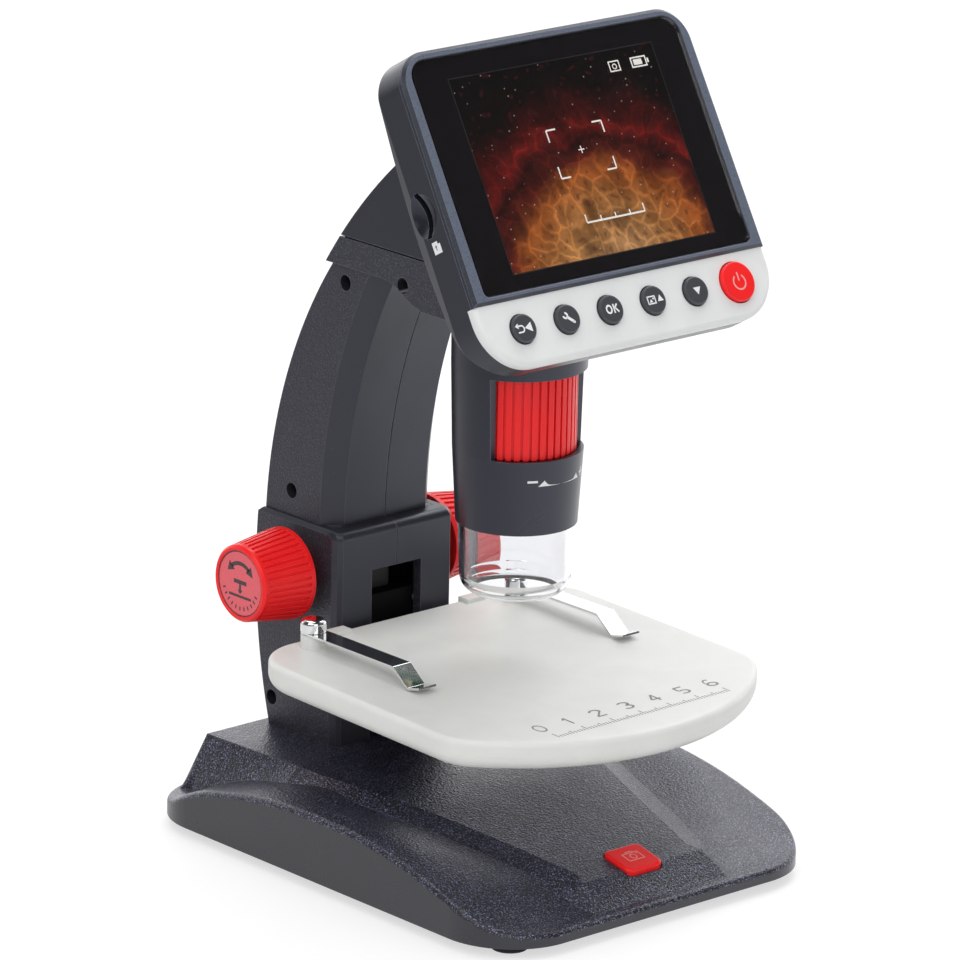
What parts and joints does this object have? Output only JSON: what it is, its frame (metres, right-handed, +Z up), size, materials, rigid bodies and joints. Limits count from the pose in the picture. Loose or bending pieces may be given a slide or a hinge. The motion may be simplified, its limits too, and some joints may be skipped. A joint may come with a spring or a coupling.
{
  "type": "lcd digital microscope",
  "caption": "Desktop digital microscope: tilted LCD head with key panel on a curved arm, vertical lens barrel with zoom wheel and clear cap, geared white stage with clips, moulded base.",
  "frame": {"origin": "on the table under the centre of the base", "axes": "+Z up, -Y towards the operator, X to the right"},
  "size_m": [0.1156, 0.149, 0.2267],
  "materials": {
    "grained_plastic": "fine grained charcoal ABS",
    "smooth_plastic": "smooth satin charcoal plastic",
    "frame_plastic": "smooth blue-grey charcoal plastic",
    "panel_white": "warm white plastic",
    "stage_white": "translucent white plastic",
    "red_plastic": "red plastic",
    "key_plastic": "dark satin key",
    "screen_black": "black glossy screen window",
    "clear_plastic": "clear acrylic",
    "lens_glass": "coated glass",
    "chrome": "bright chrome",
    "steel": "turned steel",
    "black_steel": "black oxide screw",
    "rubber": "black rubber",
    "board": "circuit board laminate",
    "component": "moulded component",
    "led": "white LED",
    "cell": "foil pouch cell"
  },
  "bodies": {
    "stand": {"base_shell": "grained_plastic", "base_plate": "grained_plastic", "base_feet": "rubber", "base_screws": "black_steel", "shutter_board": "board", "pillar_left": "grained_plastic", "pillar_right": "grained_plastic", "pillar_screws": "black_steel", "arm_left": "grained_plastic", "arm_right": "grained_plastic", "arm_screws": "black_steel", "collar_left": "grained_plastic", "collar_right": "grained_plastic", "collar_screws": "black_steel", "guide_rods": "steel", "shaft_bushings": "component", "head_back": "smooth_plastic", "screen_frame": "frame_plastic", "screen_glass": "screen_black", "lcd_panel": "component", "control_panel": "panel_white", "main_board": "board", "battery": "cell", "button_board": "board", "button_switches": "component", "card_socket": "steel", "usb_socket": "steel", "sensor_board": "board", "image_sensor": "component", "barrel_shell": "smooth_plastic", "led_board": "board", "leds": "led", "clear_cap": "clear_plastic"},
    "stage": {"stage_plate": "stage_white", "stage_carrier": "smooth_plastic", "focus_rack": "component", "carrier_screws": "black_steel", "clip_screws": "chrome"},
    "focus_drive": {"focus_shaft": "steel", "knob_left": "red_plastic", "knob_right": "red_plastic"},
    "clip_left": {"clip_left": "chrome"},
    "clip_right": {"clip_right": "chrome"},
    "zoom_wheel": {"zoom_wheel": "red_plastic"},
    "lens": {"lens_carrier": "component", "objective_lens": "lens_glass"},
    "button_back": {"button_back": "key_plastic"},
    "button_setup": {"button_setup": "key_plastic"},
    "button_ok": {"button_ok": "key_plastic"},
    "button_up": {"button_up": "key_plastic"},
    "button_down": {"button_down": "key_plastic"},
    "button_power": {"button_power": "red_plastic"},
    "button_shutter": {"button_shutter": "red_plastic"}
  },
  "joints": [
    {"name": "stage_slide", "type": "slide", "parent": "stand", "child": "stage", "axis": [0, 0, 1], "range_m": [-0.016, 0.012]},
    {"name": "focus_turn", "type": "hinge", "parent": "stand", "child": "focus_drive", "pos_m": [0, 0.0517, 0.0688], "axis": [1, 0, 0], "range_deg": [-138, 184]},
    {"name": "zoom_turn", "type": "hinge", "parent": "stand", "child": "zoom_wheel", "pos_m": [0, -0.0122, 0.126], "axis": [0, 0, 1], "range_deg": [-135, 135]},
    {"name": "lens_slide", "type": "slide", "parent": "stand", "child": "lens", "axis": [0, 0, 1], "range_m": [-0.0071, 0.0071]},
    {"name": "button_back_press", "type": "slide", "parent": "stand", "child": "button_back", "axis": [0, 0.866, -0.5], "range_m": [0, 0.0007], "stiffness_N_per_m": 900, "springref_m": -0.0003},
    {"name": "button_setup_press", "type": "slide", "parent": "stand", "child": "button_setup", "axis": [0, 0.866, -0.5], "range_m": [0, 0.0007], "stiffness_N_per_m": 900, "springref_m": -0.0003},
    {"name": "button_ok_press", "type": "slide", "parent": "stand", "child": "button_ok", "axis": [0, 0.866, -0.5], "range_m": [0, 0.0007], "stiffness_N_per_m": 900, "springref_m": -0.0003},
    {"name": "button_up_press", "type": "slide", "parent": "stand", "child": "button_up", "axis": [0, 0.866, -0.5], "range_m": [0, 0.0007], "stiffness_N_per_m": 900, "springref_m": -0.0003},
    {"name": "button_down_press", "type": "slide", "parent": "stand", "child": "button_down", "axis": [0, 0.866, -0.5], "range_m": [0, 0.0007], "stiffness_N_per_m": 900, "springref_m": -0.0003},
    {"name": "button_power_press", "type": "slide", "parent": "stand", "child": "button_power", "axis": [0, 0.866, -0.5], "range_m": [0, 0.0007], "stiffness_N_per_m": 900, "springref_m": -0.0003},
    {"name": "shutter_press", "type": "slide", "parent": "stand", "child": "button_shutter", "axis": [0, 0.2149, -0.9766], "range_m": [0, 0.0008], "stiffness_N_per_m": 900, "springref_m": -0.0003},
    {"name": "clip_left_turn", "type": "hinge", "parent": "stage", "child": "clip_left", "pos_m": [-0.036, 0.027, 0.0606], "axis": [0, 0, 1], "range_deg": [-35, 35]},
    {"name": "clip_right_turn", "type": "hinge", "parent": "stage", "child": "clip_right", "pos_m": [0.036, 0.027, 0.0606], "axis": [0, 0, 1], "range_deg": [-35, 35]}
  ],
  "couplings": [
    {"joint": "focus_turn", "follows": "stage_slide", "rad_per_m": -200},
    {"joint": "lens_slide", "follows": "zoom_turn", "m_per_rad": 0.002971}
  ]
}
